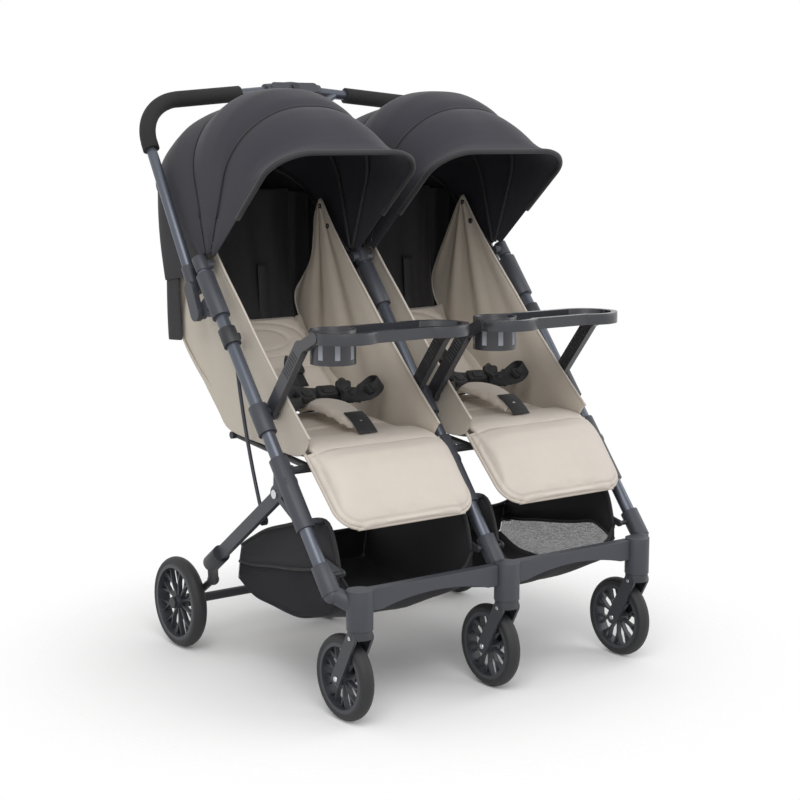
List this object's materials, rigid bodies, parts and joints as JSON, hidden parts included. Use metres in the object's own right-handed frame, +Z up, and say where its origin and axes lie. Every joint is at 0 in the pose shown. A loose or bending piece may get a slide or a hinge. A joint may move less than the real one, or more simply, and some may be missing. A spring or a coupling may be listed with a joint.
{
  "type": "side by side double stroller",
  "caption": "Folding side by side double stroller with reclining bucket seats, folding canopies, swing trays, swivel casters and open baskets.",
  "frame": {"origin": "on the floor under the middle of the overall box", "axes": "+Z up, front of the stroller towards -Y, +X to the right in the picture"},
  "size_m": [0.753, 0.7559, 1.1026],
  "materials": {
    "tube_alloy": "satin anodised tube",
    "grey_plastic": "fine grained grey moulding",
    "dark_plastic": "fine grained black moulding",
    "wheel_plastic": "satin dark grey moulding",
    "steel": "bright fasteners",
    "foam": "closed cell foam",
    "tyre": "smooth moulded tyre",
    "beige_leather": "stitched leather-look cover",
    "black_fabric": "plain woven cloth",
    "webbing": "woven webbing"
  },
  "bodies": {
    "frame": {"main_tubes": "tube_alloy", "canopy_caps": "grey_plastic", "handle_brackets": "dark_plastic", "tray_collars": "grey_plastic", "leg_hubs": "grey_plastic", "caster_housings": "grey_plastic", "front_beams": "grey_plastic", "seat_frames": "dark_plastic", "frame_bolts": "steel", "basket_struts": "dark_plastic", "baskets": "black_fabric", "seat_pads": "beige_leather", "side_wings_left": "beige_leather", "side_wings_right": "beige_leather", "crotch_straps": "webbing", "canopy_rear_left": "black_fabric", "canopy_rear_right": "black_fabric"},
    "handle": {"handle_tube": "tube_alloy", "handle_stay": "tube_alloy", "handle_grips": "foam", "fold_housing": "grey_plastic", "handle_arms": "grey_plastic"},
    "fold_release": {"fold_button": "dark_plastic"},
    "legs": {"rear_legs": "tube_alloy", "wheel_brackets": "dark_plastic", "rear_axle": "dark_plastic"},
    "brake": {"brake_pedal": "dark_plastic"},
    "links": {"link_rods": "tube_alloy"},
    "sliders": {"link_sliders": "dark_plastic"},
    "rear_wheel_left": {"rear_tyre_left": "tyre", "rear_rim_left": "wheel_plastic"},
    "caster_left": {"caster_fork_left": "wheel_plastic"},
    "front_wheel_left": {"front_tyre_left": "tyre", "front_rim_left": "wheel_plastic"},
    "rear_wheel_middle": {"rear_tyre_middle": "tyre", "rear_rim_middle": "wheel_plastic"},
    "caster_middle": {"caster_fork_middle": "wheel_plastic"},
    "front_wheel_middle": {"front_tyre_middle": "tyre", "front_rim_middle": "wheel_plastic"},
    "rear_wheel_right": {"rear_tyre_right": "tyre", "rear_rim_right": "wheel_plastic"},
    "caster_right": {"caster_fork_right": "wheel_plastic"},
    "front_wheel_right": {"front_tyre_right": "tyre", "front_rim_right": "wheel_plastic"},
    "backrest_left": {"backrest_shell_left": "black_fabric", "back_pad_left": "beige_leather", "shoulder_straps_left": "webbing"},
    "calf_left": {"calf_rest_left": "beige_leather"},
    "hood_left": {"canopy_hood_left": "black_fabric"},
    "visor_left": {"canopy_visor_left": "black_fabric"},
    "tray_body_left": {"tray_left": "grey_plastic"},
    "tray_release_left": {"tray_button_left": "dark_plastic"},
    "backrest_right": {"backrest_shell_right": "black_fabric", "back_pad_right": "beige_leather", "shoulder_straps_right": "webbing"},
    "calf_right": {"calf_rest_right": "beige_leather"},
    "hood_right": {"canopy_hood_right": "black_fabric"},
    "visor_right": {"canopy_visor_right": "black_fabric"},
    "tray_body_right": {"tray_right": "grey_plastic"},
    "tray_release_right": {"tray_button_right": "dark_plastic"}
  },
  "joints": [
    {"name": "handle_fold", "type": "hinge", "parent": "frame", "child": "handle", "pos_m": [0, 0.10856, 0.6708], "axis": [-1, 0, 0], "range_deg": [0, 150]},
    {"name": "leg_fold", "type": "hinge", "parent": "frame", "child": "legs", "pos_m": [0, -0.15853, 0.37752], "axis": [-1, 0, 0], "range_deg": [0, 62]},
    {"name": "link_turn", "type": "hinge", "parent": "legs", "child": "links", "pos_m": [0, -0.06091, 0.30773], "axis": [1, 0, 0], "range_deg": [0, 51.34]},
    {"name": "slider_travel", "type": "slide", "parent": "frame", "child": "sliders", "axis": [0, -0.6293, -0.7771], "range_m": [0, 0.09237]},
    {"name": "fold_button_press", "type": "slide", "parent": "handle", "child": "fold_release", "axis": [0, 0.8499, -0.527], "range_m": [0, 0.0035], "stiffness_N_per_m": 400, "springref_m": -0.002},
    {"name": "brake_press", "type": "hinge", "parent": "legs", "child": "brake", "pos_m": [0, 0.24503, 0.089], "axis": [-1, 0, 0], "range_deg": [0, 20]},
    {"name": "rear_spin_left", "type": "hinge", "parent": "legs", "child": "rear_wheel_left", "pos_m": [-0.341, 0.24503, 0.089], "axis": [1, 0, 0], "continuous": true},
    {"name": "caster_swivel_left", "type": "hinge", "parent": "frame", "child": "caster_left", "pos_m": [-0.32, -0.34697, 0.172], "axis": [0, 0, 1], "continuous": true},
    {"name": "front_spin_left", "type": "hinge", "parent": "caster_left", "child": "front_wheel_left", "pos_m": [-0.32, -0.30197, 0.076], "axis": [1, 0, 0], "continuous": true},
    {"name": "rear_spin_middle", "type": "hinge", "parent": "legs", "child": "rear_wheel_middle", "pos_m": [0, 0.24503, 0.089], "axis": [1, 0, 0], "continuous": true},
    {"name": "caster_swivel_middle", "type": "hinge", "parent": "frame", "child": "caster_middle", "pos_m": [0, -0.34697, 0.172], "axis": [0, 0, 1], "continuous": true},
    {"name": "front_spin_middle", "type": "hinge", "parent": "caster_middle", "child": "front_wheel_middle", "pos_m": [0, -0.30197, 0.076], "axis": [1, 0, 0], "continuous": true},
    {"name": "rear_spin_right", "type": "hinge", "parent": "legs", "child": "rear_wheel_right", "pos_m": [0.341, 0.24503, 0.089], "axis": [1, 0, 0], "continuous": true},
    {"name": "caster_swivel_right", "type": "hinge", "parent": "frame", "child": "caster_right", "pos_m": [0.32, -0.34697, 0.172], "axis": [0, 0, 1], "continuous": true},
    {"name": "front_spin_right", "type": "hinge", "parent": "caster_right", "child": "front_wheel_right", "pos_m": [0.32, -0.30197, 0.076], "axis": [1, 0, 0], "continuous": true},
    {"name": "recline_left", "type": "hinge", "parent": "frame", "child": "backrest_left", "pos_m": [-0.1785, 0.08903, 0.44], "axis": [1, 0, 0], "range_deg": [-30, 0]},
    {"name": "calf_raise_left", "type": "hinge", "parent": "frame", "child": "calf_left", "pos_m": [-0.1785, -0.16766, 0.41709], "axis": [-1, 0, 0], "range_deg": [0, 44]},
    {"name": "canopy_fold_left", "type": "hinge", "parent": "frame", "child": "hood_left", "pos_m": [-0.1785, 0.10924, 0.75903], "axis": [-1, 0, 0], "range_deg": [0, 36]},
    {"name": "visor_fold_left", "type": "hinge", "parent": "hood_left", "child": "visor_left", "pos_m": [-0.1785, 0.10924, 0.75903], "axis": [-1, 0, 0], "range_deg": [0, 24]},
    {"name": "tray_swing_left", "type": "hinge", "parent": "frame", "child": "tray_body_left", "pos_m": [-0.1785, -0.09151, 0.51112], "axis": [1, 0, 0], "range_deg": [0, 35]},
    {"name": "tray_button_press_left", "type": "slide", "parent": "tray_body_left", "child": "tray_release_left", "axis": [-1, 0, 0], "range_m": [0, 0.0035], "stiffness_N_per_m": 400, "springref_m": -0.002},
    {"name": "recline_right", "type": "hinge", "parent": "frame", "child": "backrest_right", "pos_m": [0.1785, 0.08903, 0.44], "axis": [1, 0, 0], "range_deg": [-30, 0]},
    {"name": "calf_raise_right", "type": "hinge", "parent": "frame", "child": "calf_right", "pos_m": [0.1785, -0.16766, 0.41709], "axis": [-1, 0, 0], "range_deg": [0, 44]},
    {"name": "canopy_fold_right", "type": "hinge", "parent": "frame", "child": "hood_right", "pos_m": [0.1785, 0.10924, 0.75903], "axis": [-1, 0, 0], "range_deg": [0, 36]},
    {"name": "visor_fold_right", "type": "hinge", "parent": "hood_right", "child": "visor_right", "pos_m": [0.1785, 0.10924, 0.75903], "axis": [-1, 0, 0], "range_deg": [0, 24]},
    {"name": "tray_swing_right", "type": "hinge", "parent": "frame", "child": "tray_body_right", "pos_m": [0.1785, -0.09151, 0.51112], "axis": [1, 0, 0], "range_deg": [0, 35]},
    {"name": "tray_button_press_right", "type": "slide", "parent": "tray_body_right", "child": "tray_release_right", "axis": [-1, 0, 0], "range_m": [0, 0.0035], "stiffness_N_per_m": 400, "springref_m": -0.002}
  ],
  "couplings": [
    {"joint": "leg_fold", "follows": "handle_fold", "ratio": 0.41333},
    {"joint": "link_turn", "follows": "handle_fold", "ratio": 0.34223},
    {"joint": "slider_travel", "follows": "handle_fold", "m_per_rad": 0.035283},
    {"joint": "visor_fold_left", "follows": "canopy_fold_left", "ratio": 0.66667},
    {"joint": "visor_fold_right", "follows": "canopy_fold_right", "ratio": 0.66667}
  ]
}
